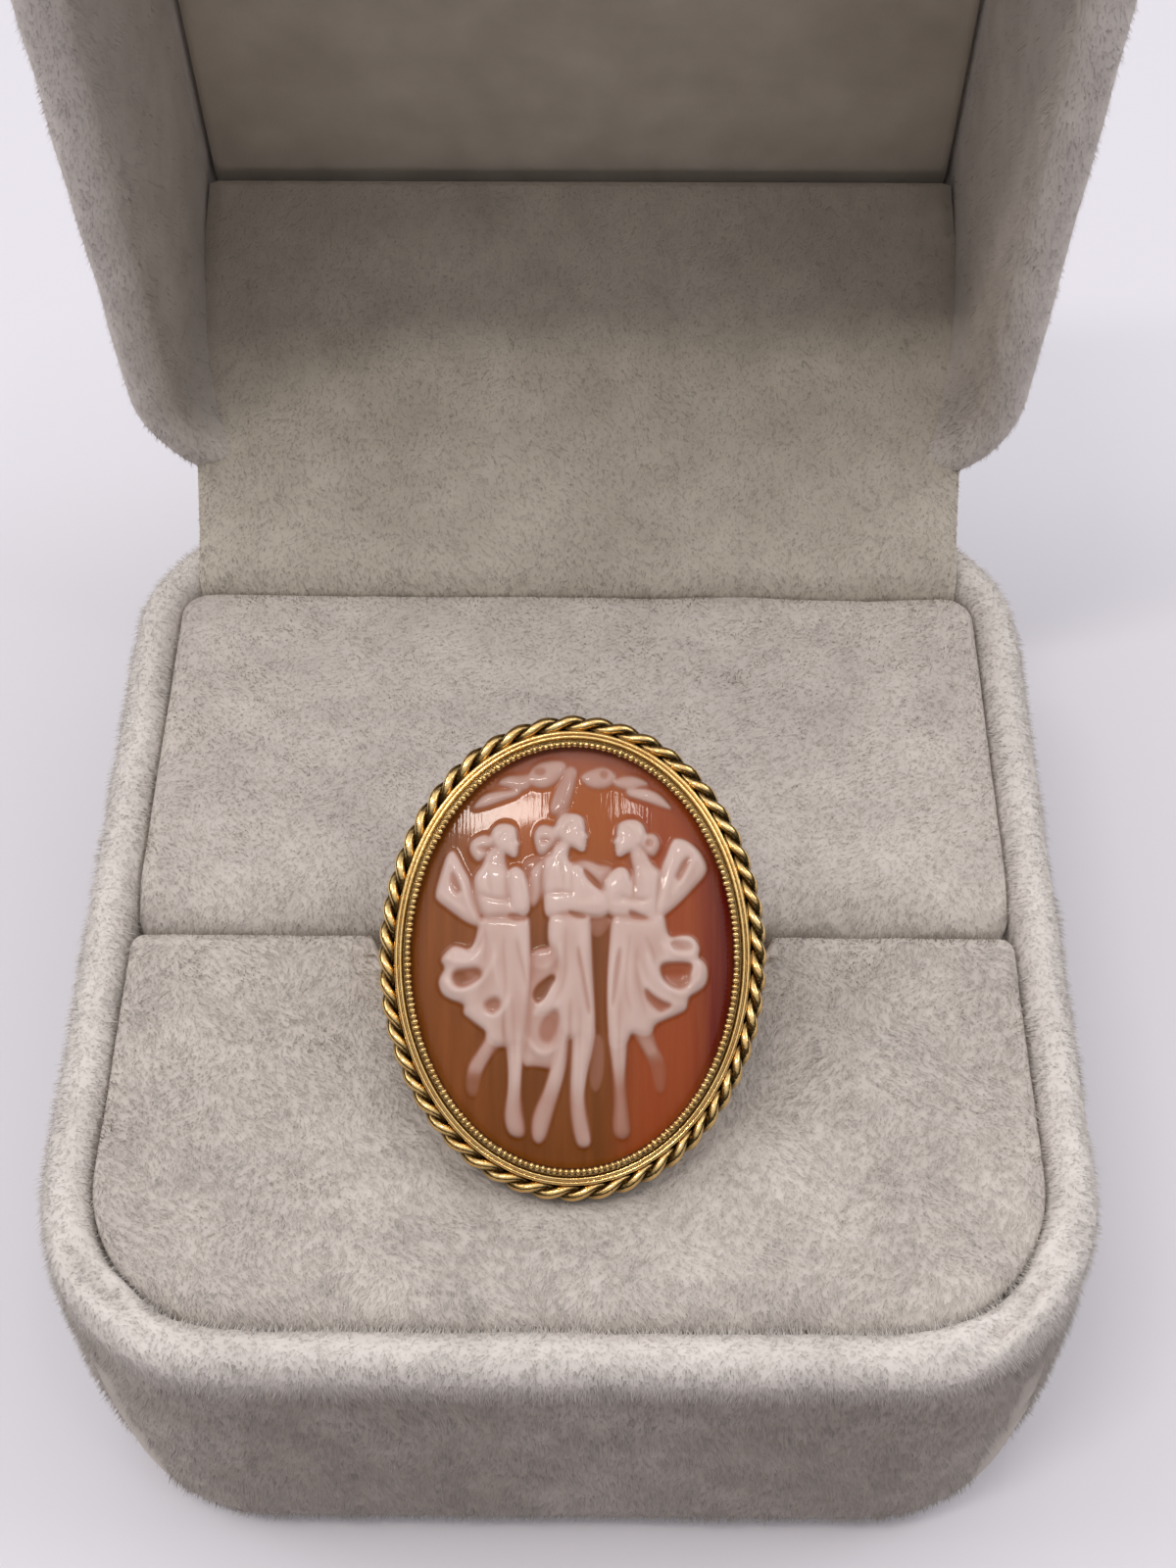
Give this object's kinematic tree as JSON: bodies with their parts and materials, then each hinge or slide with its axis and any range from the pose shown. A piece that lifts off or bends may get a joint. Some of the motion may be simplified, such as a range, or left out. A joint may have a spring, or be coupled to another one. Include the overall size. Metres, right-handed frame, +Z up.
{
  "type": "cameo ring in an open hinged plush ring box",
  "caption": "Gold ring with an oval carved shell cameo in a twisted rope border, held upright between the cushions of an open plush ring box with a hinged lid.",
  "frame": {"origin": "centre of the box's flat underside", "axes": "+Z up, +X to the right of somebody looking into the box, +Y back towards the lid hinge"},
  "size_m": [0.0538, 0.079, 0.0832],
  "materials": {
    "box_plush": "short pale beige plush pile",
    "cushion_plush": "short pale beige plush pile on padding",
    "lining_plush": "smooth short pale beige plush",
    "hinge_steel": "plain steel",
    "gold": "polished yellow gold",
    "carved_shell": "polished orange shell with white carved relief"
  },
  "bodies": {
    "box": {"base_shell": "box_plush", "front_pad": "cushion_plush", "rear_pad": "cushion_plush", "hinge_base_leaf": "hinge_steel", "hinge_pin": "hinge_steel", "ring_mount": "gold", "cameo": "carved_shell"},
    "lid": {"lid_shell": "box_plush", "lid_ceiling_panel": "lining_plush", "hinge_flap": "lining_plush", "hinge_lid_leaf": "hinge_steel"}
  },
  "joints": [
    {"name": "lid_hinge", "type": "hinge", "parent": "box", "child": "lid", "pos_m": [0, 0.0294, 0.02315], "axis": [1, 0, 0], "range_deg": [0, 79]}
  ]
}
